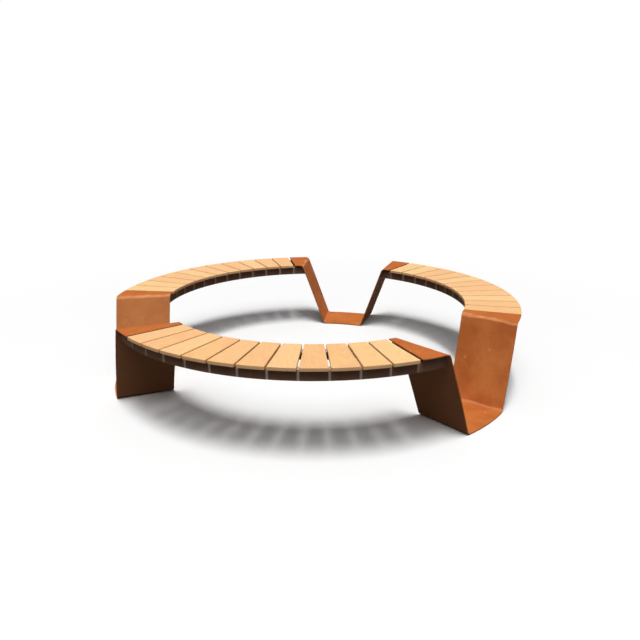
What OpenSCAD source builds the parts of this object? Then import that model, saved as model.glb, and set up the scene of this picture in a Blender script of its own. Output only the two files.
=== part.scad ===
// Round bench that stands around a tree.
// Three folded steel legs carry three curved seats of wooden boards.
// The origin lies on the ground in the middle of the ring, +Z is up and the back leg stands on +Y.
// Lengths are in millimetres and angles in degrees.

/* [Ring] */
// Diameter over the outer edge of the seat
outer_diameter = 2400; // [2300:10:2800]
// Depth of the seat, from its outer edge to the tree side
seat_depth = 310; // [270:5:400]
// Height of the seat above the ground
seat_height = 455; // [400:5:520]

/* [Legs] */
// Thickness of the folded steel plate
plate_thickness = 6; // [4:0.5:10]
// Outside radius of the four bends
bend_radius = 28; // [18:1:36]
// Distance between the two lower folds, at the tree side
lower_fold_distance = 283; // [220:1:320]
// Angle that each fold opens outwards from the middle line of the leg
fold_splay = 6; // [4:0.25:7]
// Width of the level part of a flange at the tree side, from the end of the bend to the open joint
flange_width = 32.5; // [30:0.5:60]

/* [Boards] */
// Number of boards in one seat
boards_per_seat = 11; // [8:1:12]
// Thickness of a board
board_thickness = 18; // [16:1:28]
// Open joint between two boards
board_gap = 10; // [6:1:16]
// Open joint between the last board of a seat and the flange of a leg
leg_gap = 15; // [8:1:20]
// Chamfer on the long edges of a board
board_chamfer = 2.5; // [1:0.5:4]

/* [Rails] */
// Height of the upright side of a rail
rail_height = 52; // [40:1:70]
// Width of the level side of a rail
rail_width = 40; // [34:1:56]
// Wall of the rails
rail_wall = 6; // [4:0.5:8]
// Distance of the outer rail from the outer edge of the seat
outer_setback = 24; // [14:1:40]
// Distance of the inner rail from the tree side edge of the seat
inner_setback = 21; // [14:1:40]
// Open space between the end of a rail and the sloping plate of a leg
rail_end_gap = 2; // [1:0.5:6]

/* [Fixings] */
// Shank diameter of the board screws
screw_diameter = 6; // [4:0.5:7]
// Depth of a board screw in the wood
screw_depth = 13; // [9:0.5:14]
// Diameter of the studs under the legs
stud_diameter = 10; // [8:1:12]
// Width of the stud nuts across the flats
nut_width = 16; // [15:1:19]

/* [Hidden] */
ring_facets = 240;
fixing_facets = 32;
hexagon = 6;

leg_names = ["back", "left", "right"];
leg_turns = [90, 210, 330];
seat_names = ["front", "right", "left"];
seat_turns = [270, 30, 150];
leg_step = 360 / len(leg_names);

outer_radius = outer_diameter / 2;
inner_radius = outer_radius - seat_depth;
reach = outer_diameter;
overrun = board_chamfer;

// The sloping plates of a leg run outwards and rise in this proportion.
slope_run_share = 265;
slope_rise_share = 732;
bend_angle = atan2(slope_rise_share, slope_run_share);

// Middles of the bends, measured square to the fold direction through the middle of the ring.
// The lower fold is where the undersides of the foot and of the sloping plate would meet.
lower_fold_offset = lower_fold_distance / 2 * cos(fold_splay) - inner_radius * sin(fold_splay);
lower_bend_offset = lower_fold_offset - bend_radius * tan(bend_angle / 2);
bend_shift = plate_thickness - 2 * bend_radius;
slope_length = (seat_height - 2 * bend_radius - bend_shift * cos(bend_angle)) / sin(bend_angle);
upper_bend_offset = lower_bend_offset + slope_length * cos(bend_angle) - bend_shift * sin(bend_angle);
foot_reach = lower_bend_offset + outer_radius * sin(fold_splay) + plate_thickness;

// Boards stay half a joint inside the ray between leg and seat, and the flange takes the rest of its joint.
joint_half = board_gap / 2;
flange_inset = leg_gap - joint_half;
flange_turn = asin((upper_bend_offset + flange_width) / inner_radius);
leg_half_angle = fold_splay + flange_turn + asin(flange_inset / inner_radius);
seat_angle = leg_step - 2 * leg_half_angle;
board_pitch = seat_angle / boards_per_seat;
// The ends of a board are chamfered a little less than its long edges.
end_chamfer_share = 0.8;
end_chamfer = board_chamfer * end_chamfer_share;

board_bottom = seat_height - board_thickness;
flange_bottom = seat_height - plate_thickness;
rail_bottom = board_bottom - rail_height;
rail_ledge = board_bottom - rail_wall;
outer_rail_radius = outer_radius - outer_setback;
inner_rail_radius = inner_radius + inner_setback;

// Two screws at each end of a board stand in the middle of the free width of the rail ledge.
ledge_middle = rail_wall + (rail_width - rail_wall) / 2;
screw_radii = [inner_rail_radius + ledge_middle, outer_rail_radius - ledge_middle];
screw_spread_share = 0.25;
screw_angle = board_pitch * screw_spread_share;
screw_head_diameter = 2 * screw_diameter;
screw_head_height = screw_diameter * 2 / 3;
screw_socket_width = screw_diameter * 2 / 3;
screw_socket_depth = screw_head_height / 2;
pilot_clearance = 0.1;
passage_clearance = 0.3;
tip_clearance = 1;

// Packer between the top of the rails and the underside of a leg flange.
packer_margin = 6;
packer_radii = [inner_rail_radius + packer_margin, outer_rail_radius - packer_margin];
packer_middle = (packer_radii[0] + packer_radii[1]) / 2;
stud_spread_share = 0.22;
stud_spread = (packer_radii[1] - packer_radii[0]) * stud_spread_share;
stud_radii = [packer_middle - stud_spread, packer_middle + stud_spread];
stud_clearance = 0.5;
nut_clearance = 0.1;
nut_height = stud_diameter * 0.8;
nut_collar_height = stud_diameter * 0.2;
nut_collar_diameter = nut_width * 1.3;
stud_length = board_thickness - plate_thickness + nut_height + nut_collar_height + stud_diameter / 2;

weathered_steel = [0.72, 0.43, 0.22];
yellow_wood = [0.98, 0.83, 0.60];
peach_wood = [0.95, 0.76, 0.57];
dark_steel = [0.20, 0.17, 0.14];
bright_steel = [0.62, 0.62, 0.60];
yellow_boards = [3, 7, 10, 11];

function two_digits(number) = str(number < 10 ? "0" : "", number);
function board_name(seat, number) = str("slat_", seat_names[seat], "_", two_digits(number));
function board_turn(number) = (number - (boards_per_seat + 1) / 2) * board_pitch;
// Direction, from the middle line of a leg, halfway between the upper bend and the end of the flange.
function stud_turn(radius) =
    (fold_splay + asin(upper_bend_offset / radius) + leg_half_angle - asin(flange_inset / radius)) / 2;

// Wedge of the plan, open to +X, whose two sides stay a given distance inside the rays at the half angle.
module plan_wedge(half_angle, side_inset) {
    translate([side_inset / sin(half_angle), 0])
        polygon([
            [0, 0],
            [reach, -reach * tan(half_angle)],
            [reach, reach * tan(half_angle)]
        ]);
}

// The two circles start and end on -X, away from the pieces that are cut to them.
module plan_ring(from_radius, to_radius) {
    rotate(180)
        difference() {
            circle(r = to_radius, $fn = ring_facets);
            circle(r = from_radius, $fn = ring_facets);
        }
}

// Extrudes a section, drawn as offset from the fold direction and height, along a fold of the leg.
module along_fold() {
    rotate([0, 0, fold_splay])
        rotate([90, 0, 90])
            linear_extrude(height = outer_radius + overrun)
                children();
}

// The next three place a piece of the leg's section: at the middle of the lower bend,
// at the start of the sloping plate with +X up the slope, and at the middle of the upper bend.
module at_lower_bend() {
    translate([lower_bend_offset, bend_radius])
        children();
}

module at_slope() {
    at_lower_bend()
        rotate(bend_angle)
            children();
}

module at_upper_bend() {
    at_slope()
        translate([slope_length, bend_shift])
            children();
}

module flat_section(from_length, length, level) {
    translate([from_length, level])
        square([length, plate_thickness]);
}

// Bend in the plate that starts level under its own middle and turns up by the bend angle.
module bend_section() {
    intersection() {
        difference() {
            circle(r = bend_radius, $fn = ring_facets);
            circle(r = bend_radius - plate_thickness, $fn = ring_facets);
        }
        translate([0, -reach])
            square([reach, reach]);
        rotate(bend_angle)
            translate([-reach, -reach])
                square([reach, reach]);
    }
}

// Half of the leg's section: foot, lower bend, sloping plate, upper bend and flange.
module leg_section() {
    at_lower_bend() {
        flat_section(-foot_reach, foot_reach, -bend_radius);
        bend_section();
    }
    at_slope()
        flat_section(0, slope_length, -bend_radius);
    at_upper_bend() {
        mirror([0, 1])
            bend_section();
        rotate(-bend_angle)
            flat_section(0, outer_radius, bend_radius - plate_thickness);
    }
}

// Half of the leg, with its long edges cut to the ring and its flange to the joint with the boards.
module half_leg() {
    intersection() {
        along_fold()
            leg_section();
        translate([0, 0, -overrun])
            linear_extrude(height = seat_height + 2 * overrun)
                intersection() {
                    plan_ring(inner_radius, outer_radius);
                    plan_wedge(leg_half_angle, flange_inset);
                }
    }
}

// One plate, folded four times. The two halves overlap in the foot.
module leg() {
    color(weathered_steel)
        union() {
            half_leg();
            mirror([0, 1, 0])
                half_leg();
        }
}

// Everything on the V side of a sloping plate, and a little more: it trims the end of a rail.
module rail_end_cut() {
    rotate([0, 0, -leg_step / 2])
        along_fold()
            at_slope()
                translate([-reach, -bend_radius - rail_end_gap])
                    square([2 * reach, reach]);
}

module screw_places(number) {
    for (radius = screw_radii)
        for (side = [-1, 1])
            rotate([0, 0, board_turn(number) + side * screw_angle])
                translate([radius, 0, 0])
                    children();
}

// Angle section, rolled to an arc, that runs from leg to leg under the boards and the flanges.
module rail(section_points) {
    color(dark_steel)
        difference() {
            rotate([0, 0, -leg_step / 2 + fold_splay])
                rotate_extrude(angle = leg_step - 2 * fold_splay, $fn = ring_facets)
                    polygon(section_points);
            rail_end_cut();
            mirror([0, 1, 0])
                rail_end_cut();
            for (number = [1:boards_per_seat])
                screw_places(number)
                    translate([0, 0, rail_ledge - overrun])
                        cylinder(r = screw_diameter / 2 + passage_clearance,
                            h = rail_wall + 2 * overrun, $fn = fixing_facets);
        }
}

module outer_rail() {
    rail([
        [outer_rail_radius, rail_bottom],
        [outer_rail_radius, board_bottom],
        [outer_rail_radius - rail_width, board_bottom],
        [outer_rail_radius - rail_width, rail_ledge],
        [outer_rail_radius - rail_wall, rail_ledge],
        [outer_rail_radius - rail_wall, rail_bottom]
    ]);
}

module inner_rail() {
    rail([
        [inner_rail_radius, rail_bottom],
        [inner_rail_radius + rail_wall, rail_bottom],
        [inner_rail_radius + rail_wall, rail_ledge],
        [inner_rail_radius + rail_width, rail_ledge],
        [inner_rail_radius + rail_width, board_bottom],
        [inner_rail_radius, board_bottom]
    ]);
}

// Section of a board through its length, as distance from the middle of the ring and height.
module board_length_section() {
    polygon([
        [inner_radius + end_chamfer, board_bottom],
        [outer_radius - end_chamfer, board_bottom],
        [outer_radius, board_bottom + end_chamfer],
        [outer_radius, seat_height - end_chamfer],
        [outer_radius - end_chamfer, seat_height],
        [inner_radius + end_chamfer, seat_height],
        [inner_radius, seat_height - end_chamfer],
        [inner_radius, board_bottom + end_chamfer]
    ]);
}

// Section across a board at one long side, chamfered above and below.
module board_side_section() {
    polygon([
        [-reach, board_bottom - overrun],
        [-joint_half - board_chamfer - overrun, board_bottom - overrun],
        [-joint_half, board_bottom + board_chamfer],
        [-joint_half, seat_height - board_chamfer],
        [-joint_half - board_chamfer - overrun, seat_height + overrun],
        [-reach, seat_height + overrun]
    ]);
}

module board_side() {
    rotate([0, 0, board_pitch / 2])
        rotate([90, 0, 90])
            linear_extrude(height = reach)
                board_side_section();
}

// Tapered board with its ends cut to the two circles, and four blind holes from below.
module board(number) {
    color(len(search(number, yellow_boards)) > 0 ? yellow_wood : peach_wood)
        difference() {
            rotate([0, 0, board_turn(number)])
                intersection() {
                    rotate([0, 0, -board_pitch])
                        rotate_extrude(angle = 2 * board_pitch, $fn = ring_facets)
                            board_length_section();
                    board_side();
                    mirror([0, 1, 0])
                        board_side();
                }
            screw_places(number)
                translate([0, 0, board_bottom - overrun])
                    cylinder(r = screw_diameter / 2 + pilot_clearance,
                        h = screw_depth + tip_clearance + overrun, $fn = fixing_facets);
        }
}

module board_screw() {
    difference() {
        union() {
            translate([0, 0, rail_ledge - screw_head_height])
                cylinder(d = screw_head_diameter, h = screw_head_height, $fn = fixing_facets);
            translate([0, 0, rail_ledge - screw_head_height])
                cylinder(d = screw_diameter,
                    h = screw_head_height + rail_wall + screw_depth, $fn = fixing_facets);
        }
        translate([0, 0, rail_ledge - screw_head_height - overrun])
            cylinder(d = screw_socket_width / cos(180 / hexagon),
                h = screw_socket_depth + overrun, $fn = hexagon);
    }
}

// All the screws of one seat, driven upwards through the rails into the boards.
module board_screws() {
    color(bright_steel)
        for (number = [1:boards_per_seat])
            screw_places(number)
                board_screw();
}

module stud_places() {
    for (side = [-1, 1])
        for (radius = stud_radii)
            rotate([0, 0, side * stud_turn(radius)])
                translate([radius, 0, 0])
                    children();
}

// Flat wedge that lifts the flange to the level of the boards, with two holes for the studs.
module packer() {
    color(dark_steel)
        difference() {
            translate([0, 0, board_bottom])
                linear_extrude(height = board_thickness - plate_thickness)
                    intersection() {
                        plan_ring(packer_radii[0], packer_radii[1]);
                        rotate(fold_splay)
                            translate([0, upper_bend_offset + packer_margin])
                                square([reach, reach]);
                        rotate(leg_half_angle)
                            translate([0, -reach - flange_inset - packer_margin / 2])
                                square([reach, reach]);
                    }
            stud_places()
                translate([0, 0, board_bottom - overrun])
                    cylinder(r = stud_diameter / 2 + stud_clearance,
                        h = board_thickness + overrun, $fn = fixing_facets);
        }
}

// Threaded studs, welded under the two flanges of one leg.
module studs() {
    color(dark_steel)
        stud_places()
            translate([0, 0, flange_bottom - stud_length])
                cylinder(d = stud_diameter, h = stud_length, $fn = fixing_facets);
}

module stud_nut() {
    difference() {
        union() {
            translate([0, 0, board_bottom - nut_collar_height])
                cylinder(d = nut_collar_diameter, h = nut_collar_height, $fn = fixing_facets);
            translate([0, 0, board_bottom - nut_collar_height - nut_height])
                cylinder(d = nut_width / cos(180 / hexagon), h = nut_height + nut_collar_height / 2,
                    $fn = hexagon);
        }
        translate([0, 0, board_bottom - nut_collar_height - nut_height - overrun])
            cylinder(r = stud_diameter / 2 + nut_clearance,
                h = nut_height + nut_collar_height + 2 * overrun, $fn = fixing_facets);
    }
}

// Collar nuts that pull the packers, and the rails under them, up to one leg.
module stud_nuts() {
    color(bright_steel)
        stud_places()
            stud_nut();
}

for (place = [0:2]) {
    rotate([0, 0, leg_turns[place]]) {
        leg();
        packer();
        mirror([0, 1, 0]) packer();
        studs();
        stud_nuts();
    }
    rotate([0, 0, seat_turns[place]]) {
        outer_rail();
        inner_rail();
        board_screws();
        for (number = [1:boards_per_seat])
            board(number);
    }
}
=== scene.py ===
# %% [markdown]
# # A round bench for a tree
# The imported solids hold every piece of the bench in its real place: three folded legs, six rolled
# rails, thirty-three tapered boards and their hidden fixings. This lesson dresses them. Pieces whose
# shape follows a rule are made again with Geometry Nodes, a little finer than the solids, and every
# piece gets a finish that nodes paint all over it.

import math

import bmesh
import bpy
from mathutils import Matrix, Vector
from mathutils.bvhtree import BVHTree


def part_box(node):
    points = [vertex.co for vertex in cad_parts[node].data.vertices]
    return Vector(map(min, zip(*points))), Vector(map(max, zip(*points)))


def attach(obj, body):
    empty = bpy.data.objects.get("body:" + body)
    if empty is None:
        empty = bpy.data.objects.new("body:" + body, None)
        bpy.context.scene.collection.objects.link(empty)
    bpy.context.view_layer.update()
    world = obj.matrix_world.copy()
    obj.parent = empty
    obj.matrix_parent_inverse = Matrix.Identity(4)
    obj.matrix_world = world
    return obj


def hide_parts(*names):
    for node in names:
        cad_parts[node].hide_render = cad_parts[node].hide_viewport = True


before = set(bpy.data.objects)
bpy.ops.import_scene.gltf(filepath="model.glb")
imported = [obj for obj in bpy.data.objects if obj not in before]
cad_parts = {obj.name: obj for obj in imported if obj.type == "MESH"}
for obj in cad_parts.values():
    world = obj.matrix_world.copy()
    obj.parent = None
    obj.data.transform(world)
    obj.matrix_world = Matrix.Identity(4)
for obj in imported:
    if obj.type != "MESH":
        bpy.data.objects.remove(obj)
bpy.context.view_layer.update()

# %% [markdown]
# ## Reading the sizes from the solids
# A bench maker would take these sizes from the finished pieces with a tape. We do the same: the
# corners of a board's mesh give the two circles of the ring, the level of the seat and the turn
# from one board to the next. Then the dressed pieces always fit the solids. Seats and legs are known
# by the direction of their middle line, in degrees round the ring.

# %% Measure the ring on the boards
SEATS = {"front": 270, "right": 30, "left": 150}
LEGS = {"back": 90, "left": 210, "right": 330}
BOARDS = 11
THIRD = 360 / len(SEATS)
JUST_INSIDE = 0.0005


def corners(node):
    """The corners of a solid, seen from above: distance from the middle, direction and height."""
    points = [v.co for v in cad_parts[node].data.vertices]
    return [(math.hypot(p.x, p.y), math.degrees(math.atan2(p.y, p.x)), p.z) for p in points]


board_corners = corners("slat_front_06")
inner_radius = min(c[0] for c in board_corners)
outer_radius = max(c[0] for c in board_corners)
board_underside = min(c[2] for c in board_corners)
seat_height = max(c[2] for c in board_corners)
rim = outer_radius - JUST_INSIDE
half_board = max(abs(turn + 90) for radius, turn, _ in board_corners if radius > rim)
next_board = min(turn + 90 for radius, turn, _ in corners("slat_front_07") if radius > rim)
board_pitch = half_board + next_board
half_joint = outer_radius * math.sin(math.radians((next_board - half_board) / 2))
leg_half_angle = (THIRD - BOARDS * board_pitch) / 2
flange_turn = max(turn - 90 for radius, turn, height in corners("leg_back")
                  if radius > rim and height > seat_height - JUST_INSIDE)
flange_inset = outer_radius * math.sin(math.radians(leg_half_angle - flange_turn))
print("ring from", round(inner_radius, 4), "to", round(outer_radius, 4), "m")
print("seat at", round(seat_height, 4), "m")
print("boards every", round(board_pitch, 4), "degrees, with joints of", round(half_joint * 2, 4), "m")
print("joints beside the legs", round(half_joint + flange_inset, 4), "m")

# %% [markdown]
# ## The camera
# The camera stands a little to the right of the bench, at about the height of a person's chin, and
# looks slightly down on it. Its place and its lens were worked out from the corners and circles of
# the bench in the photograph, so that the ring falls into the same part of the frame.

# %% Set up the camera
camera = bpy.data.objects.new("camera", bpy.data.cameras.new("camera"))
bpy.context.scene.collection.objects.link(camera)
looks_down, looks_towards = 17.039, 103.056
camera.location = (0.8570, -3.5592, 1.4222)
camera.rotation_euler = (math.radians(90 - looks_down), 0, math.radians(looks_towards - 90))
camera.data.lens = 35.02
camera.data.sensor_width = 36
bpy.context.scene.camera = camera
print("camera is", round(camera.location.length, 2), "m from the middle of the ring")

# %% [markdown]
# ## Small helpers for node trees
# Geometry trees and material trees are both made of nodes and links. Formulas are hard to read as
# a row of Math nodes, so a small class lets us write them as sums: each sum or product adds its
# node to the tree and hands on the result.


# %% Write formulas as nodes
def feed(tree, value, socket):
    """Links a result into a socket, or writes a plain value there. A node gives its first result."""
    if isinstance(value, Number):
        value = value.result
    if isinstance(value, bpy.types.Node):
        value = next(s for s in value.outputs if s.enabled)
    if isinstance(value, bpy.types.NodeSocket):
        tree.links.new(value, socket)
    else:
        socket.default_value = value


def add(tree, kind, inputs=(), **settings):
    """Adds one node. Its settings come first: of several sockets of one name they enable one."""
    node = tree.nodes.new(kind)
    for name, value in settings.items():
        setattr(node, name, value)
    for name, value in dict(inputs).items():
        feed(tree, value, next(s for s in node.inputs if s.name == name and s.enabled))
    return node


def math_step(tree, operation, *values):
    node = add(tree, "ShaderNodeMath", operation=operation)
    for socket, value in zip(node.inputs, values):
        feed(tree, value, socket)
    return Number(tree, node)


class Number:
    """A number on its way through a node tree."""

    def __init__(self, tree, result):
        self.tree = tree
        self.result = result

    def do(self, operation, *others):
        return math_step(self.tree, operation, self, *others)

    def __add__(self, other):
        return self.do("ADD", other)

    def __sub__(self, other):
        return self.do("SUBTRACT", other)

    def __mul__(self, other):
        return self.do("MULTIPLY", other)

    def __truediv__(self, other):
        return self.do("DIVIDE", other)

    def __rsub__(self, other):
        return math_step(self.tree, "SUBTRACT", other, self)

    def __rtruediv__(self, other):
        return math_step(self.tree, "DIVIDE", other, self)

    __radd__ = __add__
    __rmul__ = __mul__

    def held(self):
        """The number kept between 0 and 1."""
        return self.do("MAXIMUM", 0.0).do("MINIMUM", 1.0)


def split(tree, vector):
    """The three numbers of a vector."""
    node = add(tree, "ShaderNodeSeparateXYZ", {"Vector": vector})
    return [Number(tree, s) for s in node.outputs]


def joined(tree, x, y, z):
    return add(tree, "ShaderNodeCombineXYZ", {"X": x, "Y": y, "Z": z})


def vector_step(tree, operation, *vectors):
    """Hands vectors to a Vector Math node. Some operations give a vector, and some a number."""
    node = add(tree, "ShaderNodeVectorMath", operation=operation)
    for socket, vector in zip(node.inputs, vectors):
        feed(tree, vector, socket)
    return node


def turned_level(tree, vector, angle):
    """The vector turned about the upright axis."""
    return add(tree, "ShaderNodeVectorRotate", {"Vector": vector, "Angle": angle},
               rotation_type="Z_AXIS")


def between(start, end, share):
    return start + (end - start) * share


FLOAT, WHOLE, VECTOR = "NodeSocketFloat", "NodeSocketInt", "NodeSocketVector"
SHAPE, FINISH, THING = "NodeSocketGeometry", "NodeSocketMaterial", "NodeSocketObject"


def new_tree(name, kind, inputs, outputs):
    """An empty tree. Gives the tree, its named inputs, and the node that takes its results."""
    tree = bpy.data.node_groups.new(name, kind)
    for label, (socket_type, value) in inputs.items():
        socket = tree.interface.new_socket(label, in_out="INPUT", socket_type=socket_type)
        if value is not None:
            socket.default_value = value
    for label, socket_type in outputs.items():
        tree.interface.new_socket(label, in_out="OUTPUT", socket_type=socket_type)
    given = tree.nodes.new("NodeGroupInput")
    numbers = {s.name: Number(tree, s) for s in given.outputs if s.name}
    return tree, numbers, tree.nodes.new("NodeGroupOutput")


print("helpers ready")

# %% [markdown]
# ## Shared surface effects
# Rust, timber and painted steel all show the same few things at different sizes: soft clouds of
# tone, small scattered specks, and edges that hands and shoes have rubbed. Each is a node group
# that is built once. A finish places it with its own sizes, in metres on the real bench. The first
# group is the clouds: a Noise texture, with its contrast raised until it holds bright and dark.

# %% Soft clouds of tone
clouds, given, result = new_tree(
    "Soft clouds", "ShaderNodeTree",
    {"Place": (VECTOR, None), "Size": (FLOAT, 0.1), "Contrast": (FLOAT, 2.0), "Detail": (FLOAT, 5.0)},
    {"Mask": FLOAT})
noise = add(clouds, "ShaderNodeTexNoise", {
    "Vector": given["Place"], "Scale": 1 / given["Size"], "Detail": given["Detail"], "Roughness": 0.58})
level = (Number(clouds, noise) - 0.5) * given["Contrast"] + 0.5
feed(clouds, level.held(), result.inputs["Mask"])
print("group", clouds.name)

# %% [markdown]
# ## Specks
# Pits, pores and rust specks are small, apart from each other and all of different sizes. A Voronoi
# texture puts one point in every cell. Its colour is a random number for each cell, which decides
# whether the cell holds a speck and how large it is.

# %% Scattered specks
specks, given, result = new_tree(
    "Scattered specks", "ShaderNodeTree",
    {"Place": (VECTOR, None), "Spacing": (FLOAT, 0.01), "Share": (FLOAT, 0.3), "Largest": (FLOAT, 0.3),
     "Softness": (FLOAT, 0.1)},
    {"Mask": FLOAT})
cells = add(specks, "ShaderNodeTexVoronoi", {"Vector": given["Place"], "Scale": 1 / given["Spacing"]})
chance = add(specks, "ShaderNodeSeparateColor", {"Color": cells.outputs["Color"]})
reach = (given["Share"] - Number(specks, chance.outputs["Red"])) / given["Share"] * given["Largest"]
edge = (reach - Number(specks, cells.outputs["Distance"])) / given["Softness"]
feed(specks, edge.held(), result.inputs["Mask"])
print("group", specks.name)

# %% [markdown]
# ## Rubbed edges
# Edges wear first. The Bevel node gives the direction the surface would face if its edges were
# rounded. Where that differs from the real direction there is an edge, and clouds break the rubbed
# line up.

# %% Rubbed edges
rubbed, given, result = new_tree(
    "Rubbed edges", "ShaderNodeTree",
    {"Place": (VECTOR, None), "Reach": (FLOAT, 0.004), "Strength": (FLOAT, 4.0)},
    {"Mask": FLOAT})
rounded = add(rubbed, "ShaderNodeBevel", {"Radius": given["Reach"]}, samples=6)
facing = add(rubbed, "ShaderNodeNewGeometry")
same = vector_step(rubbed, "DOT_PRODUCT", rounded, facing.outputs["Normal"])
broken = add(rubbed, "ShaderNodeGroup", {"Place": given["Place"], "Size": 0.012, "Contrast": 3.0},
             node_tree=clouds)
edge = (1 - Number(rubbed, same)) * given["Strength"]
feed(rubbed, (edge * Number(rubbed, broken)).held(), result.inputs["Mask"])
print("group", rubbed.name)

# %% [markdown]
# ## Helpers for finishes
# A finish starts as one colour, and each effect lays another colour over it where its mask is
# bright. That is how a painter glazes, and it keeps every step of the finish readable. A piece can
# also carry numbers of its own, such as the tone of a board, which its finish reads.


# %% Start a finish and lay colours over it
def new_finish(name):
    material = bpy.data.materials.new(name)
    material.use_nodes = True
    tree = material.node_tree
    place = add(tree, "ShaderNodeTexCoord").outputs["Object"]
    return material, tree, tree.nodes["Principled BSDF"], place


def effect(tree, group, **inputs):
    """Places a shared group. Its inputs are given in lower case."""
    inputs = {name.capitalize(): value for name, value in inputs.items()}
    return Number(tree, add(tree, "ShaderNodeGroup", inputs, node_tree=group))


def stored(tree, name):
    """A number that a geometry tree has stored on the piece."""
    return Number(tree, add(tree, "ShaderNodeAttribute", attribute_name=name).outputs["Fac"])


def lay_over(tree, below, above, mask):
    """The colour below, with the colour above laid over it where the mask is bright."""
    return add(tree, "ShaderNodeMix", {"Factor": mask, "A": below, "B": above}, data_type="RGBA")


def paint(tree, shader, colour, coats, roughness):
    """Paints a ground colour, then every coat of (colour, mask) over it, one after the other."""
    for coat, mask in coats:
        colour = lay_over(tree, colour, coat, mask)
    feed(tree, colour, shader.inputs["Base Color"])
    feed(tree, roughness, shader.inputs["Roughness"])


def stretched(tree, place, x, y, z):
    """The same place with its three axes multiplied: a pattern grows long where the number is small."""
    return add(tree, "ShaderNodeMapping", {"Vector": place, "Scale": (x, y, z)})


def relief(tree, shader, height, depth, strength=1.0):
    """Feeds a height into a Bump node. Depth is in metres."""
    bump = add(tree, "ShaderNodeBump", {"Height": height, "Distance": depth, "Strength": strength})
    feed(tree, bump, shader.inputs["Normal"])


print("finish helpers ready")

# %% [markdown]
# ## Weathered steel
# The legs are bare steel that makes its own rust coat. It is a clouded orange brown: ochre where it
# dries quickly, redder where water stands, brown where rain has run down the slopes, with small dark
# pits and pale marks. A paler band along the folds is a painted highlight, where the rounded bends
# would catch the lamp. The undersides get a greyer brown: partly because rain never reaches them,
# partly as painted shade for faces that see only the shadowed floor. Each leg carries a number that
# pales its coat. This is painted light: the left leg is paled most, as if more light fell on it.
# The rust is matt, but the bent plate under it is a little wavy, which shows as uneven light.


# %% Find the painted highlight along the folds
def fold_lines(up, waves, mottle):
    """Bright along the upper and the lower bends of a leg, as a painted highlight. The sizes are heights
    in metres.
    """
    fade, upper_fade = 0.008, 0.006
    upper_line_end, lower_line = 0.0185, 0.017
    below_seat = seat_height - (up + (waves - 0.5) * 0.030 + (mottle - 0.5) * 0.004)
    upper = (below_seat / fade).do("MINIMUM", (upper_line_end - below_seat) / upper_fade)
    lower = 1 - ((up + (waves - 0.5) * 0.008 - lower_line) / fade).do("ABSOLUTE")
    return upper.do("MAXIMUM", lower).held()


print("fold lines ready")


# %% Mix the weathered steel
def make_weathered_steel():
    material, tree, shader, place = new_finish("weathered_steel")
    facing_up = split(tree, add(tree, "ShaderNodeNewGeometry").outputs["Normal"])[2]
    steep = 1 - facing_up.do("ABSOLUTE")
    sheltered_and_shaded = ((0.05 - facing_up) * 3).held()
    flat = ((facing_up - 0.8) * 5).held()
    tilted = ((1 - facing_up) * 20).held()
    up = split(tree, place)[2]
    top = ((up - seat_height) / 0.05 + 1).held()
    waves = effect(tree, clouds, place=place, size=0.09, contrast=1.0, detail=1.0)
    wide = effect(tree, clouds, place=place, size=0.16, contrast=3.5, detail=3.0)
    patches = effect(tree, clouds, place=stretched(tree, place, 1.3, 1.0, 0.7), size=0.060, contrast=4.0)
    runs = effect(tree, clouds, place=stretched(tree, place, 1, 1, 0.22), size=0.050, contrast=3.5)
    mottle = effect(tree, clouds, place=place, size=0.010, contrast=3.0)
    grit = effect(tree, clouds, place=place, size=0.0025, contrast=1.5)
    pits = effect(tree, specks, place=place, spacing=0.021, share=0.30, largest=0.20, softness=0.08)
    bent = vector_step(tree, "ADD", stretched(tree, place, 1, 1, 0.45),
                       joined(tree, mottle * 0.010, wide * 0.03, waves * 0.02))
    drops = effect(tree, specks, place=bent, spacing=0.060, share=0.85, largest=0.14, softness=0.04)
    edge_mask = effect(tree, rubbed, place=place, reach=0.003, strength=3.0)
    fold_highlight = fold_lines(up, waves, mottle) * tilted * (0.40 + patches * 0.4)
    paint(tree, shader, (0.530, 0.150, 0.036, 1), [
        ((0.690, 0.235, 0.064, 1), wide),
        ((0.660, 0.135, 0.040, 1), patches * (top * 0.50 + 0.10)),
        ((0.340, 0.095, 0.028, 1), runs * steep * 0.28),
        ((0.400, 0.110, 0.028, 1), mottle * 0.15),
        ((0.470, 0.125, 0.022, 1), flat * 0.28),
        # Painted light: each leg's sloping plates are paled by its own number, the left leg most.
        ((0.850, 0.420, 0.180, 1), stored(tree, "leg_paleness") * (1 - flat)),
        ((0.160, 0.045, 0.016, 1), pits * 0.55),
        ((0.820, 0.370, 0.150, 1), drops * 0.60),
        # Painted highlight: a paler band along the bends, where they would catch the lamp.
        ((0.880, 0.390, 0.170, 1), fold_highlight),
        # Partly painted shade: faces that look down get a greyer brown, partly because rain never
        # reaches them.
        ((0.460, 0.215, 0.112, 1), sheltered_and_shaded * 0.75),
        ((0.180, 0.060, 0.025, 1), edge_mask * 0.6)],
        roughness=0.72 + mottle * 0.12 + wide * 0.06 - fold_highlight * 0.2)
    shader.inputs["Specular IOR Level"].default_value = 0.06
    relief(tree, shader, waves * 0.75 + grit * 0.09 + mottle * 0.12 - pits * 0.1, 0.0022)
    return material


weathered_steel = make_weathered_steel()
print("weathered steel mixed")

# %% [markdown]
# ## Oiled hardwood
# The boards are a pale hardwood. The figure is made the way a tree makes it: rings around a heart
# that lies below the board and slopes a little, so that the face shows long arches and the sawn
# ends show arcs. Every board carries its own direction, tone and place in the tree as attributes,
# so no two boards look alike and the grain always runs along the board.


# %% Mix the two tones of wood
def shade(colour, red, green, blue):
    """A deeper shade of a colour: each part is multiplied by its own share."""
    return colour[0] * red, colour[1] * green, colour[2] * blue, 1


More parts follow.
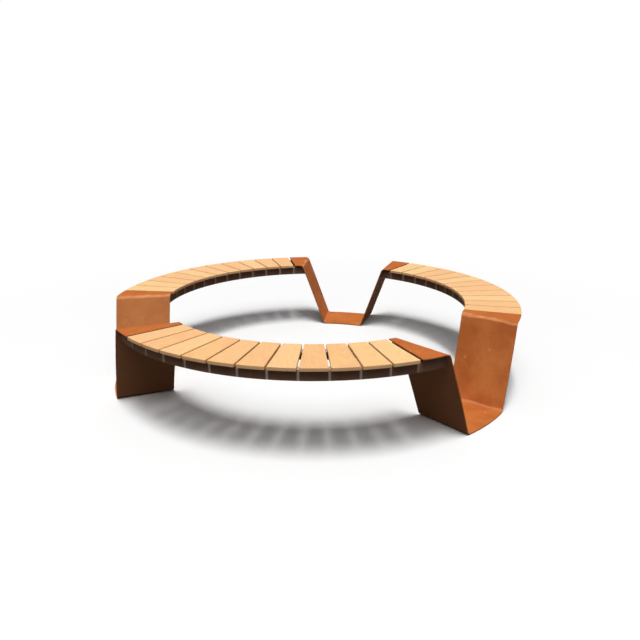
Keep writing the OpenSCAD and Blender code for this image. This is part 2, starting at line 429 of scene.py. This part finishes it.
def make_wood(name, pale, deep, blush_colour):
    material, tree, shader, place = new_finish(name)
    tone, log = stored(tree, "board_tone"), stored(tree, "board_log")
    back = stored(tree, "board_turn") * -1.0
    along, across, up = split(tree, turned_level(tree, place, back))
    grain = joined(tree, along + log * 7, across + log * 3, up)
    long_grain = stretched(tree, grain, 0.045, 1, 1)
    fine_grain = stretched(tree, grain, 0.03, 1, 1)
    sway = effect(tree, clouds, place=stretched(tree, grain, 0.25, 1, 1), size=0.05, contrast=1.0,
                  detail=2.0)
    ring_width, heart_depth, heart_slope, heart_spread = 0.0062, 0.045, 0.06, 0.09
    heart_x = across + (log - 0.5) * heart_spread + (sway - 0.5) * 0.022
    heart_z = up - seat_height + heart_depth + along * heart_slope + (sway - 0.5) * 0.015
    ring = (heart_x * heart_x + heart_z * heart_z).do("SQRT") / ring_width
    late = ring.do("FRACT").do("POWER", 2.5)
    streaks = effect(tree, clouds, place=long_grain, size=0.011, contrast=2.6)
    fibres = effect(tree, clouds, place=fine_grain, size=0.0018, contrast=2.2)
    pores = effect(tree, specks, place=stretched(tree, grain, 0.10, 1, 1), spacing=0.0030,
                   share=0.6, largest=0.30, softness=0.15)
    blush = effect(tree, clouds, place=stretched(tree, grain, 0.5, 1, 1), size=0.07, contrast=3.5,
                   detail=2.0)
    edge_mask = effect(tree, rubbed, place=place, reach=0.003, strength=2.0)
    facing = turned_level(tree, add(tree, "ShaderNodeNewGeometry").outputs["Normal"], back)
    end = (split(tree, facing)[0].do("ABSOLUTE") * 3 - 1.5).held()
    paint(tree, shader, pale, [
        (deep, (tone * 0.75 + streaks * 0.45).held()),
        (blush_colour, blush * 0.70),
        (shade(deep, 0.90, 0.78, 0.62), late * 0.32),
        (shade(deep, 0.66, 0.50, 0.36), pores * 0.25),
        (shade(deep, 0.88, 0.78, 0.66), fibres * 0.15),
        ((0.960, 0.560, 0.290, 1), end * 0.70),
        # Partly painted highlight: the board edges are lighter, as rubbed wood is and as edges that
        # catch the lamp look.
        ((0.98, 0.76, 0.48, 1), edge_mask * 0.35)],
        roughness=0.50 + streaks * 0.10 + end * 0.15)
    shader.inputs["Specular IOR Level"].default_value = 0.15
    relief(tree, shader, fibres * 0.5 - pores * 0.5 - late * 0.3, 0.0003)
    return material


YELLOW, GOLD = (0.975, 0.688, 0.336, 1), (0.945, 0.592, 0.252, 1)
PEACH, APRICOT = (0.975, 0.592, 0.308, 1), (0.930, 0.512, 0.236, 1)
yellow_wood = make_wood("yellow_wood", YELLOW, GOLD, PEACH)
peach_wood = make_wood("peach_wood", PEACH, APRICOT, GOLD)
print("two tones of wood mixed")

# %% [markdown]
# ## Dark steel and bright steel
# The rails under the boards are dark brown steel, a little blotchy and scratched along their edges.
# Under every open joint the rail gets a pale stripe. It is painted light: it stands in for the light
# that falls through the joint onto the rail. A stripe could be painted by hand; here it comes from
# the same rule as the joints: the turn around the ring is counted in boards, and a stripe stands at
# every whole number. The screws, studs and nuts are zinc-plated: a bright metal with dull clouds.


# %% Find the places under the joints
JOINT_LIGHT_SPREAD, JOINT_LIGHT_FADE = 0.0015, 0.002


def under_joints(tree, place):
    """Bright within a joint's width of the middle of every joint, all the way down the rail."""
    x, y, _ = split(tree, place)
    radius = (x * x + y * y).do("SQRT")
    turn = y.do("ARCTAN2", x) * math.degrees(1)
    from_middle = (turn + (THIRD / 2 - SEATS["right"])).do("FLOORED_MODULO", THIRD) - THIRD / 2
    boards = from_middle / board_pitch + 0.5
    aside = (boards - boards.do("ROUND")).do("ABSOLUTE") * math.radians(board_pitch) * radius
    under_seat = ((BOARDS / 2 + 0.1) * board_pitch - from_middle.do("ABSOLUTE")).held()
    return ((half_joint + JOINT_LIGHT_SPREAD - aside) / JOINT_LIGHT_FADE).held() * under_seat


print("streaks", round((half_joint + JOINT_LIGHT_SPREAD) * 2, 4), "m wide")


# %% Mix the two steels
def make_dark_steel():
    material, tree, shader, place = new_finish("dark_steel")
    streaks = under_joints(tree, place)
    blotches = effect(tree, clouds, place=place, size=0.060, contrast=2.5)
    orange_peel = effect(tree, clouds, place=place, size=0.0016, contrast=1.5, detail=2.0)
    rust = effect(tree, specks, place=place, spacing=0.013, share=0.25, largest=0.25, softness=0.10)
    edge_mask = effect(tree, rubbed, place=place, reach=0.003, strength=2.5)
    paint(tree, shader, (0.228, 0.122, 0.080, 1), [
        ((0.310, 0.170, 0.112, 1), blotches),
        # Painted light: a pale stripe down the rail under every joint, where light falls through it.
        ((0.580, 0.460, 0.370, 1), streaks * (0.70 + blotches * 0.25)),
        ((0.320, 0.130, 0.060, 1), rust * 0.6),
        ((0.330, 0.260, 0.200, 1), edge_mask * 0.6)],
        roughness=0.60 + blotches * 0.12 + edge_mask * 0.1)
    shader.inputs["Specular IOR Level"].default_value = 0.03
    relief(tree, shader, orange_peel + blotches * 0.4, 0.00012)
    return material


def make_bright_steel():
    material, tree, shader, place = new_finish("bright_steel")
    dull = effect(tree, clouds, place=place, size=0.007, contrast=2.5)
    stain = effect(tree, specks, place=place, spacing=0.006, share=0.3, largest=0.35, softness=0.2)
    paint(tree, shader, (0.62, 0.62, 0.60, 1), [
        ((0.40, 0.40, 0.40, 1), dull),
        ((0.30, 0.22, 0.14, 1), stain * 0.5)],
        roughness=0.30 + dull * 0.25)
    shader.inputs["Metallic"].default_value = 1.0
    relief(tree, shader, dull, 0.00005)
    return material


dark_steel = make_dark_steel()
bright_steel = make_bright_steel()
print("dark and bright steel mixed")

# %% [markdown]
# ## From a tree of nodes to a finished piece
# A geometry tree needs an object to run on. We lend it an empty one, set the tree's inputs by their
# identifiers, add the modifiers that finish the piece, and keep the result as a plain mesh. A fine
# round on the edges catches the light as a real edge does, and weighted normals keep the large
# faces flat in shading. Last, we measure how far the piece departs from the solid it stands for.


# %% Run a tree and keep its result
def store(tree, shape, name, value):
    """Keeps a number on every point of the shape, for the finish to read."""
    return add(tree, "GeometryNodeStoreNamedAttribute", {
        "Geometry": shape, "Name": name, "Value": value}, data_type="FLOAT", domain="POINT")


def finished(tree, shape, finish):
    """The last two steps of every tree: copies become real faces, and all take the finish."""
    shape = add(tree, "GeometryNodeRealizeInstances", {"Geometry": shape})
    return add(tree, "GeometryNodeSetMaterial", {"Geometry": shape, "Material": finish})


def link(piece):
    bpy.context.scene.collection.objects.link(piece)
    return piece


def run_tree(name, tree, sizes, edge_round=0.0, steps=2):
    carrier = link(bpy.data.objects.new(name + "_carrier", bpy.data.meshes.new(name + "_carrier")))
    shape = carrier.modifiers.new("shape", "NODES")
    shape.node_group = tree
    for item in tree.interface.items_tree:
        if item.name in sizes and item.in_out == "INPUT":
            shape[item.identifier] = sizes[item.name]
    if edge_round:
        bevel = carrier.modifiers.new("edges", "BEVEL")
        bevel.width = edge_round
        bevel.segments = steps
        bevel.limit_method = "ANGLE"
        bevel.angle_limit = math.radians(40)
        carrier.modifiers.new("normals", "WEIGHTED_NORMAL")
    graph = bpy.context.evaluated_depsgraph_get()
    mesh = bpy.data.meshes.new_from_object(
        carrier.evaluated_get(graph), preserve_all_data_layers=True, depsgraph=graph)
    mesh.name = name
    bpy.data.objects.remove(carrier)
    return link(bpy.data.objects.new(name, mesh))


def departure(piece, *nodes):
    """The largest distance from a corner of the piece to the solids, in metres."""
    trees = []
    for node in nodes:
        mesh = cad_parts[node].data
        faces = [face.vertices for face in mesh.polygons]
        trees.append(BVHTree.FromPolygons([v.co for v in mesh.vertices], faces))
    return max(min(t.find_nearest(v.co)[3] for t in trees) for v in piece.data.vertices)


def stand_for(piece, slot, *nodes):
    """Gives a finished piece its body and hides the solids that it replaces. The slot is not used."""
    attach(piece, "root")
    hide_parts(*nodes)


print("piece helpers ready")

# %% [markdown]
# ## The tapered boards
# The maker saws every board to the same wedge, so that the open joints keep one width from the tree
# side to the outer side. Modelling thirty-three boards by hand would hide that rule. The tree starts
# with a block of points one unit long, wide and high, and moves each point to its place on the
# ring: its first number becomes the distance from the middle, the second the turn, the third the
# height.


# %% Build the board tree
def make_board_tree():
    tree, given, result = new_tree(
        "Tapered board", "GeometryNodeTree",
        {"Number": (WHOLE, 1), "Boards": (WHOLE, 11), "Seat turn": (FLOAT, 0.0), "Pitch": (FLOAT, 0.1),
         "Inner radius": (FLOAT, 0.9), "Outer radius": (FLOAT, 1.2), "Half joint": (FLOAT, 0.006),
         "Underside": (FLOAT, 0.4), "Thickness": (FLOAT, 0.02), "Finish": (FINISH, None)},
        {"Board": SHAPE})
    block = add(tree, "GeometryNodeMeshCube", {"Vertices X": 5, "Vertices Y": 9, "Vertices Z": 2})
    x, y, z = split(tree, add(tree, "GeometryNodeInputPosition"))
    turn = given["Seat turn"] + (given["Number"] - (given["Boards"] + 1) / 2) * given["Pitch"]
    radius = between(given["Inner radius"], given["Outer radius"], x + 0.5)
    half_width = given["Pitch"] / 2 - (given["Half joint"] / radius).do("ARCSINE")
    angle = turn + y * 2 * half_width
    place = joined(tree, radius * angle.do("COSINE"), radius * angle.do("SINE"),
                   given["Underside"] + given["Thickness"] * (z + 0.5))
    shape = add(tree, "GeometryNodeSetPosition", {"Geometry": block, "Position": place})
    seed = given["Number"] + given["Seat turn"] * 100
    carried = {"board_turn": turn}
    for label, draw in (("board_tone", 11), ("board_log", 47)):
        carried[label] = add(tree, "FunctionNodeRandomValue", {
            "Min": 0.0, "Max": 1.0, "ID": seed, "Seed": draw}, data_type="FLOAT")
    for label, value in carried.items():
        shape = store(tree, shape, label, value)
    shape = add(tree, "GeometryNodeSetShadeSmooth", {"Geometry": shape})
    feed(tree, finished(tree, shape, given["Finish"]), result.inputs["Board"])
    return tree


board_tree = make_board_tree()
print("tree", board_tree.name, "with", len(board_tree.nodes), "nodes")

# %% Lay the boards
WOODS = {"yellow_wood": yellow_wood, "peach_wood": peach_wood}
YELLOW_BOARDS = (3, 7, 10, 11)
BOARD_EDGE = 0.0024
furthest = 0
for seat, seat_turn in SEATS.items():
    for number in range(1, BOARDS + 1):
        wood = "yellow_wood" if number in YELLOW_BOARDS else "peach_wood"
        board = run_tree(f"board_{seat}_{number:02d}", board_tree, {
            "Number": number, "Boards": BOARDS, "Seat turn": math.radians(seat_turn),
            "Pitch": math.radians(board_pitch), "Half joint": half_joint,
            "Inner radius": inner_radius, "Outer radius": outer_radius,
            "Underside": board_underside, "Thickness": seat_height - board_underside,
            "Finish": WOODS[wood]}, edge_round=BOARD_EDGE, steps=3)
        solid = f"slat_{seat}_{number:02d}"
        furthest = max(furthest, departure(board, solid))
        stand_for(board, wood, solid)
print(len(SEATS) * BOARDS, "boards laid, at most", round(furthest * 1000, 2), "mm from their solids")

# %% [markdown]
# ## The folded legs
# Each leg is one steel plate with a foot in the middle, a slope up each side and a flange at the top.
# A press folds it along four straight lines, and each half is turned outwards by a few degrees, so
# the fold lines spread like a fan. We draw the folds once, as a line with rounded corners, and let
# the tree wrap a thin block of points along it. The two ends of the plate and its foot line follow
# the ring, so they depend on the distance from the middle.

# %% Sizes of the fold, as on the maker's drawing
plate = 0.006
bend_outside = 0.028
fold_splay = math.radians(6)
lower_fold_outside = 0.04769
run, rise = 265, 732
lean = run / rise
fold_angle = math.atan(1 / lean)
fold_radius = bend_outside - plate / 2
lower_fold = lower_fold_outside - plate / 2 * math.tan(fold_angle / 2)
print("the plate turns", round(math.degrees(fold_angle), 2), "degrees at every fold")


# %% Draw the line of the folds
def rounded_line(tree, stops, steps, radius):
    """A line through corners of (across, height), each of them rounded in a few steps."""
    line = add(tree, "GeometryNodeMeshLine", {"Count": len(stops)})
    corner = add(tree, "GeometryNodeIndexSwitch", data_type="VECTOR")
    while len(corner.index_switch_items) < len(stops):
        corner.index_switch_items.new()
    feed(tree, add(tree, "GeometryNodeInputIndex"), corner.inputs["Index"])
    for number, (across, height) in enumerate(stops):
        feed(tree, joined(tree, across, height, 0.0), corner.inputs[str(number)])
    line = add(tree, "GeometryNodeSetPosition", {"Geometry": line, "Position": corner})
    line = add(tree, "GeometryNodeMeshToCurve", {"Mesh": line})
    return add(tree, "GeometryNodeFilletCurve", {"Curve": line, "Count": steps, "Radius": radius},
               mode="POLY")


def with_rows(tree, line, spacing):
    """Gives the straight stretches more points, so that the plate's cut ends can follow the ring."""
    position = add(tree, "GeometryNodeInputPosition")
    after = Number(tree, add(tree, "GeometryNodeInputIndex")) + 1
    following = add(tree, "GeometryNodeFieldAtIndex", {"Value": position, "Index": after},
                    data_type="FLOAT_VECTOR", domain="POINT")
    step = Number(tree, vector_step(tree, "DISTANCE", position, following))
    cuts = (step / spacing).do("FLOOR")
    return add(tree, "GeometryNodeSubdivideCurve", {"Curve": line, "Cuts": cuts})


print("line helpers ready")


# %% Lay a block of points along the line
def block_along(tree, line):
    """A block with a row for every point of the line, on both sides of the foot's middle.

    Gives the block, its depth and thickness from -0.5 to 0.5, the side (-1, 0 or 1), and the place
    and the direction of the line in every row.
    """
    size = add(tree, "GeometryNodeAttributeDomainSize", {"Geometry": line}, component="CURVE")
    last = Number(tree, size.outputs["Point Count"]) - 1
    block = add(tree, "GeometryNodeMeshCube", {
        "Vertices X": 5, "Vertices Y": last * 2 + 1, "Vertices Z": 2})
    position = add(tree, "GeometryNodeInputPosition")
    x, y, z = split(tree, position)
    row = (y * last * 2).do("ROUND")
    found = []
    for value in (position, add(tree, "GeometryNodeInputTangent")):
        node = add(tree, "GeometryNodeSampleIndex", {
            "Geometry": line, "Value": value, "Index": row.do("ABSOLUTE")},
            data_type="FLOAT_VECTOR", domain="POINT")
        found.append(split(tree, node))
    return block, x, z, row.do("SIGN"), found


print("block helper ready")


# %% Build the leg tree
def make_leg_tree():
    tree, given, result = new_tree(
        "Folded leg", "GeometryNodeTree",
        {"Turn": (FLOAT, 0.0), "Splay": (FLOAT, 0.1), "Half angle": (FLOAT, 0.4),
         "Flange inset": (FLOAT, 0.01), "Inner radius": (FLOAT, 0.9), "Outer radius": (FLOAT, 1.2),
         "Height": (FLOAT, 0.45),
         "Plate": (FLOAT, 0.006), "Lower fold": (FLOAT, 0.05), "Lean": (FLOAT, 0.36),
         "Fold angle": (FLOAT, 1.2), "Fold radius": (FLOAT, 0.025), "Fold steps": (WHOLE, 10),
         "Row spacing": (FLOAT, 0.04), "Painted light": (FLOAT, 0.0), "Finish": (FINISH, None)},
        {"Leg": SHAPE})
    splay = given["Splay"]
    low, high = given["Plate"] / 2, given["Height"] - given["Plate"] / 2
    upper_fold = given["Lower fold"] + (high - low) * given["Lean"]

    def foot_start(radius):
        return radius * splay.do("SINE") * -1

    def flange_end(radius):
        inset_turn = (given["Flange inset"] / radius).do("ARCSINE")
        return radius * (given["Half angle"] - inset_turn - splay).do("SINE")

    line_start = foot_start(given["Outer radius"])
    line_end = flange_end(given["Outer radius"])
    stops = (line_start, low), (given["Lower fold"], low), (upper_fold, high), (line_end, high)
    line = rounded_line(tree, stops, given["Fold steps"], given["Fold radius"])
    line = with_rows(tree, line, given["Row spacing"])
    block, x, z, side, ((across, height, _), (ahead, climb, _)) = block_along(tree, line)

    # The line fits the outer edge. Further in, the foot and the flange end sooner.
    radius = between(given["Inner radius"], given["Outer radius"], x + 0.5)
    curl = given["Fold radius"] * (given["Fold angle"] / 2).do("TANGENT")
    foot_edge = given["Lower fold"] - curl
    flange_edge = upper_fold + curl
    foot_share = ((foot_edge - across) / (foot_edge - line_start)).held()
    flange_share = ((across - flange_edge) / (line_end - flange_edge)).held()
    across = (across + (foot_start(radius) - line_start) * foot_share
              + (flange_end(radius) - line_end) * flange_share)

    # Half the plate lies on each side of the line. Then the half leg is turned to its splay.
    across = across - climb * z * given["Plate"]
    height = height + ahead * z * given["Plate"]
    out = (radius * radius - across * across).do("SQRT")
    forward = out * splay.do("COSINE") - across * splay.do("SINE")
    sideways = (out * splay.do("SINE") + across * splay.do("COSINE")) * side
    place = turned_level(tree, joined(tree, forward, sideways, height), given["Turn"])
    shape = add(tree, "GeometryNodeSetPosition", {"Geometry": block, "Position": place})
    shape = store(tree, shape, "leg_paleness", given["Painted light"])
    shape = add(tree, "GeometryNodeSetShadeSmooth", {"Geometry": shape})
    feed(tree, finished(tree, shape, given["Finish"]), result.inputs["Leg"])
    return tree


leg_tree = make_leg_tree()
print("tree", leg_tree.name, "with", len(leg_tree.nodes), "nodes")

# %% Fold the three legs
# How much painted light each leg's coat gets: the left leg is paled most, as if more light fell on it.
PAINTED_LEG_LIGHT = {"back": 0.08, "left": 0.24, "right": 0.0}
PLATE_EDGE = 0.0008
for leg, leg_turn in LEGS.items():
    folded = run_tree(f"folded_leg_{leg}", leg_tree, {
        "Turn": math.radians(leg_turn), "Splay": fold_splay, "Half angle": math.radians(leg_half_angle),
        "Flange inset": flange_inset, "Inner radius": inner_radius, "Outer radius": outer_radius,
        "Height": seat_height, "Plate": plate, "Lower fold": lower_fold, "Lean": lean,
        "Fold angle": fold_angle, "Fold radius": fold_radius, "Fold steps": 10, "Row spacing": 0.04,
        "Painted light": PAINTED_LEG_LIGHT[leg], "Finish": weathered_steel}, edge_round=PLATE_EDGE, steps=2)
    print(folded.name, len(folded.data.polygons), "faces, at most",
          round(departure(folded, f"leg_{leg}") * 1000, 2), "mm from its solid")
    stand_for(folded, "weathered_steel", f"leg_{leg}")

# %% [markdown]
# ## Turned fixings
# Screws, nuts and studs are turned or pressed around one axis. We build such a piece from a list of
# rings, each with a radius and a height, and join ring to ring. A hexagon is a ring too: its radius
# swells towards the six corners.


# %% Turn a piece from rings
def turned(name, rings, sides=12):
    """Joins rings of (radius, height) into a closed piece. A third entry makes a ring a hexagon."""
    mesh = bmesh.new()
    loops = []
    for radius, height, *hexagon in rings:
        loop = []
        for number in range(sides):
            angle = 2 * math.pi * number / sides
            swell = 1.0
            if hexagon:
                swell = math.cos(math.pi / 6) / math.cos(angle % (math.pi / 3) - math.pi / 6)
            x, y = radius * swell * math.cos(angle), radius * swell * math.sin(angle)
            loop.append(mesh.verts.new((x, y, height)))
        loops.append(loop)
    for lower, upper in zip(loops, loops[1:]):
        for a in range(sides):
            b = (a + 1) % sides
            mesh.faces.new((lower[a], lower[b], upper[b], upper[a]))
    if rings[0] != rings[-1]:
        mesh.faces.new(list(reversed(loops[0])))
        mesh.faces.new(loops[-1])
    bmesh.ops.remove_doubles(mesh, verts=mesh.verts, dist=1e-7)
    bmesh.ops.recalc_face_normals(mesh, faces=mesh.faces)
    data = bpy.data.meshes.new(name)
    mesh.to_mesh(data)
    mesh.free()
    return bpy.data.objects.new(name, data)


print("turning helper ready")

# %% [markdown]
# ## Setting fixings around the ring
# All fixings stand on two circles, in pairs to the left and right of a middle line. One tree serves
# them all: it makes four points for every middle line and puts a copy of the fixing on each.


# %% Build the fixing tree
def make_fixing_tree():
    tree, given, result = new_tree(
        "Fixings around the ring", "GeometryNodeTree",
        {"Fixing": (THING, None), "Lines": (WHOLE, 1), "First turn": (FLOAT, 0.0), "Pitch": (FLOAT, 0.1),
         "Inner circle": (FLOAT, 0.9), "Outer circle": (FLOAT, 1.1), "Inner spread": (FLOAT, 0.1),
         "Outer spread": (FLOAT, 0.1), "Finish": (FINISH, None)},
        {"Fixings": SHAPE})
    index = Number(tree, add(tree, "GeometryNodeInputIndex"))
    line = (index / 4).do("FLOOR")
    side = index.do("MODULO", 2.0) * 2 - 1
    row = (index / 2).do("FLOOR").do("MODULO", 2.0)
    radius = between(given["Inner circle"], given["Outer circle"], row)
    spread = between(given["Inner spread"], given["Outer spread"], row)
    angle = given["First turn"] + line * given["Pitch"] + side * spread
    place = joined(tree, radius * angle.do("COSINE"), radius * angle.do("SINE"), 0.0)
    points = add(tree, "GeometryNodePoints", {"Count": given["Lines"] * 4, "Position": place})
    fixing = add(tree, "GeometryNodeObjectInfo", {"Object": given["Fixing"], "As Instance": True})
    copies = add(tree, "GeometryNodeInstanceOnPoints", {
        "Points": points, "Instance": fixing.outputs["Geometry"],
        "Rotation": joined(tree, 0.0, 0.0, angle)})
    shape = finished(tree, copies, given["Finish"])
    feed(tree, shape, result.inputs["Fixings"])
    return tree


fixing_tree = make_fixing_tree()
print("tree", fixing_tree.name, "with", len(fixing_tree.nodes), "nodes")

# %% [markdown]
# ## Board screws
# Four screws hold every board from below, through the level sides of the rails, so the seat stays
# smooth. Their heads have a hexagon socket for the key. The circles that they stand on and their
# heights are measured on the solids.

# %% Measure where the fixings stand
rail_inner = min(c[0] for c in corners("inner_rail_front"))
rail_outer = max(c[0] for c in corners("outer_rail_front"))
screw_low, screw_high = (corner.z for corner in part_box("board_screws_front"))
stud_low, stud_high = (corner.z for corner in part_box("studs_back"))
nut_low, nut_high = (corner.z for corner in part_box("stud_nuts_back"))
rail_width, rail_wall = 0.040, 0.006
ledge_middle = (rail_width + rail_wall) / 2
screw_circles = rail_inner + ledge_middle, rail_outer - ledge_middle
print("screws on circles of", [round(r, 4) for r in screw_circles], "m")

# %% Drive the board screws
head_radius, head_face, head_height, head_edge = 0.0060, 0.0054, 0.004, 0.0007
socket_corner, socket_mouth, socket_depth, socket_edge = 0.0024, 0.0029, 0.002, 0.0003
shank_radius, point_radius, point_height = 0.0030, 0.0008, 0.002
screw = turned("screw", [
    (socket_corner, screw_low + socket_depth, "hexagon"),
    (socket_corner, screw_low + socket_edge, "hexagon"),
    (socket_mouth, screw_low),
    (head_face, screw_low),
    (head_radius, screw_low + head_edge),
    (head_radius, screw_low + head_height),
    (shank_radius, screw_low + head_height),
    (shank_radius, screw_high - point_height),
    (point_radius, screw_high)])
spread = math.radians(board_pitch / 4)
for seat, seat_turn in SEATS.items():
    first_turn = math.radians(seat_turn - (BOARDS - 1) / 2 * board_pitch)
    screws = run_tree(f"screws_{seat}", fixing_tree, {
        "Fixing": screw, "Lines": BOARDS, "First turn": first_turn, "Pitch": math.radians(board_pitch),
        "Inner circle": screw_circles[0], "Outer circle": screw_circles[1],
        "Inner spread": spread, "Outer spread": spread, "Finish": bright_steel})
    print(screws.name, len(screws.data.polygons), "faces,",
          round(departure(screws, f"board_screws_{seat}") * 1000, 2), "mm from the solids")
    stand_for(screws, "bright_steel", f"board_screws_{seat}")
bpy.data.objects.remove(screw)

# %% [markdown]
# ## Studs and collar nuts
# Two studs are welded under each flange of a leg, and a collar nut on each pulls the rails up. They
# are only seen from below, but there they are close to the eye, so the stud gets its rings of thread
# and the nut its rounded corners. The studs stand a little over a fifth of a packer's length from
# its middle, halfway between the upper fold and the end of the flange.

# %% Find the places of the studs
upper_bend = 0.225675
packer_inset, stud_share = 0.006, 0.22
packer_circles = rail_inner + packer_inset, rail_outer - packer_inset
packer_middle = sum(packer_circles) / 2
packer_length = packer_circles[1] - packer_circles[0]
stud_circles = [packer_middle + side * stud_share * packer_length for side in (-1, 1)]


def stud_turn(radius):
    """Turn from the leg's middle line to halfway between the upper fold and the end of the flange."""
    return (fold_splay + math.asin(upper_bend / radius)
            + math.radians(leg_half_angle) - math.asin(flange_inset / radius)) / 2


print("studs on circles of", [round(r, 4) for r in stud_circles], "m")

# %% Cut the thread of a stud
thread_pitch, core, crest = 0.0015, 0.0042, 0.0050
stud_rings = [(core, stud_low)]
height = stud_low + thread_pitch / 2
while height < stud_high - thread_pitch:
    stud_rings += [(crest, height), (core, height + thread_pitch / 2)]
    height += thread_pitch
stud_rings.append((core, stud_high))
stud = turned("stud", stud_rings, sides=24)
print("a stud of", len(stud_rings), "rings")

# %% Press a collar nut
nut_bore, nut_face, nut_round = 0.0051, 0.0076, 0.0080
nut_edge, hexagon_edge = 0.0005, 0.0014
collar_round, collar_radius = 0.0100, 0.0104
collar_height, collar_slope, collar_edge = 0.0024, 0.0018, 0.0012
hexagon_corner = nut_round / math.cos(math.pi / 6)
nut = turned("nut", [
    (nut_bore, nut_low),
    (nut_face, nut_low),
    (nut_round, nut_low + nut_edge),
    (hexagon_corner, nut_low + hexagon_edge, "hexagon"),
    (hexagon_corner, nut_high - collar_height, "hexagon"),
    (collar_round, nut_high - collar_slope),
    (collar_radius, nut_high - collar_edge),
    (collar_radius, nut_high),
    (nut_bore, nut_high),
    (nut_bore, nut_low)], sides=24)
print("a collar nut of", len(nut.data.polygons), "faces")

# %% Set the studs and the nuts
for leg, leg_turn in LEGS.items():
    for name, fixing, node in ((f"threaded_studs_{leg}", stud, f"studs_{leg}"),
                               (f"collar_nuts_{leg}", nut, f"stud_nuts_{leg}")):
        fixings = run_tree(name, fixing_tree, {
            "Fixing": fixing, "Lines": 1, "First turn": math.radians(leg_turn), "Pitch": 0.0,
            "Inner circle": stud_circles[0], "Outer circle": stud_circles[1],
            "Inner spread": stud_turn(stud_circles[0]), "Outer spread": stud_turn(stud_circles[1]),
            "Finish": bright_steel})
        print(name, round(departure(fixings, node) * 1000, 2), "mm from the solids")
        stand_for(fixings, "bright_steel", node)
bpy.data.objects.remove(stud)
bpy.data.objects.remove(nut)

# %% [markdown]
# ## Rails and packers
# Under every seat run two angle sections, rolled to the curve of the ring, and on their ends packer
# wedges carry the flanges of the legs. They could be swept along an arc here too, but they already
# have their right shape in the solids, with every drilled hole, and only change their finish.

# %% Paint the rails and the packers
painted = [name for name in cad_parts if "rail" in name or name.startswith("packer")]
for name in painted:
    for material_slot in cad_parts[name].material_slots:
        material_slot.material = dark_steel
print(len(painted), "solids painted with the dark steel")

# %% [markdown]
# ## The floor
# The bench stands on a white floor. It looks white to the camera and to reflections, and gives back
# less light to the underside of the bench, as a floor that the bench itself shades does. Further out
# it glows evenly, so that its far edge never shows.

# %% Make the floor
FLOOR_SIZE, FLOOR_GAP = 40, 0.0005
floor_mesh = bmesh.new()
bmesh.ops.create_grid(floor_mesh, x_segments=4, y_segments=4, size=FLOOR_SIZE)
floor_data = bpy.data.meshes.new("floor")
floor_mesh.to_mesh(floor_data)
floor_mesh.free()
floor_data.transform(Matrix.Translation((0, 0, -FLOOR_GAP)))
floor = link(bpy.data.objects.new("floor", floor_data))


def seen(tree):
    """1 for rays from the camera, from reflections and through glass, 0 for all other light."""
    path = add(tree, "ShaderNodeLightPath")
    kinds = "Is Camera Ray", "Is Glossy Ray", "Is Transmission Ray"
    rays = [Number(tree, path.outputs[kind]) for kind in kinds]
    return (rays[0] + rays[1] + rays[2]).held()


def make_floor_finish():
    material, tree, shader, place = new_finish("white_floor")
    tree.nodes.remove(shader)
    visible = seen(tree)
    bounce = lay_over(tree, (0.08, 0.08, 0.08, 1), (0.995, 0.995, 0.995, 1), visible)
    matt = add(tree, "ShaderNodeBsdfDiffuse", {"Color": bounce})
    glow = add(tree, "ShaderNodeEmission", {"Color": (1, 1, 1, 1), "Strength": 1.0})
    glow_start, glow_fade = 1.6, 2.0
    x, y, _ = split(tree, place)
    distance = (x * x + y * y).do("SQRT")
    far = ((distance - glow_start) / glow_fade).held() * visible
    both = add(tree, "ShaderNodeMixShader", {"Fac": far})
    feed(tree, matt, both.inputs[1])
    feed(tree, glow, both.inputs[2])
    feed(tree, both, tree.nodes["Material Output"].inputs["Surface"])
    return material


floor.data.materials.append(make_floor_finish())
print("floor laid")

# %% [markdown]
# ## The lamps
# The shadow in the photograph tells where the light comes from. Thin bright lines under the joints
# need a narrow lamp. The edges of the shadow that run away from the camera are sharper than those
# that run across, so the main lamp is longer from front to back than it is wide. A wide lamp that
# leans further over softens the rest. All three hang far away on the camera's side, so that the
# light is the same all round the ring. Each gets the level that it gives to a white floor. The
# power for that level grows with the square of the distance, and with pi twice, because lamp and
# floor both spread their light over half a sphere.

# %% Hang the three lamps
LAMP_DISTANCE, LAMP_TURN = 40, math.radians(10)
LAMPS = {
    "narrow_lamp": {"tilt": 10.0, "light": 0.190, "across": 2.4, "along": 12},
    "long_lamp": {"tilt": 14.0, "light": 0.410, "across": 6.0, "along": 16},
    "wide_lamp": {"tilt": 27.0, "light": 0.34, "across": 25, "along": 25},
}
for name, sizes in LAMPS.items():
    lamp_data = bpy.data.lights.new(name, "AREA")
    lamp_data.shape = "RECTANGLE"
    lamp_data.size, lamp_data.size_y = sizes["across"], sizes["along"]
    lamp_data.energy = sizes["light"] * math.pi * math.pi * LAMP_DISTANCE ** 2
    lamp = link(bpy.data.objects.new(name, lamp_data))
    lamp.rotation_euler = (math.radians(sizes["tilt"]), 0, LAMP_TURN)
    lamp.location = lamp.rotation_euler.to_matrix() @ Vector((0, 0, LAMP_DISTANCE))
    print(name, "of", round(lamp_data.energy), "W at", LAMP_DISTANCE, "m")

# %% [markdown]
# ## The sky
# A weak sky fills the shadows. One part of it is even, and one grows towards the top. Both get the
# level that they give to a white floor, and the growing part is doubled for it, because only half
# of its strength arrives there. The camera and reflections see the sky as plain white.

# %% Light the sky
EVEN_SKY, DOME_SKY = 0.075, 0.095
world = bpy.data.worlds.new("even_sky")
bpy.context.scene.world = world
world.use_nodes = True
sky = world.node_tree.nodes["Background"]
sky.inputs["Color"].default_value = (1, 1, 1, 1)
visible = seen(world.node_tree)
direction = add(world.node_tree, "ShaderNodeTexCoord").outputs["Generated"]
dome = split(world.node_tree, direction)[2].held().do("POWER", 2.0) * (DOME_SKY * 2) + EVEN_SKY
feed(world.node_tree, visible + (1 - visible) * dome, sky.inputs["Strength"])
bpy.context.scene.view_settings.view_transform = "Standard"
print("sky of", EVEN_SKY, "all over and", DOME_SKY, "from above")
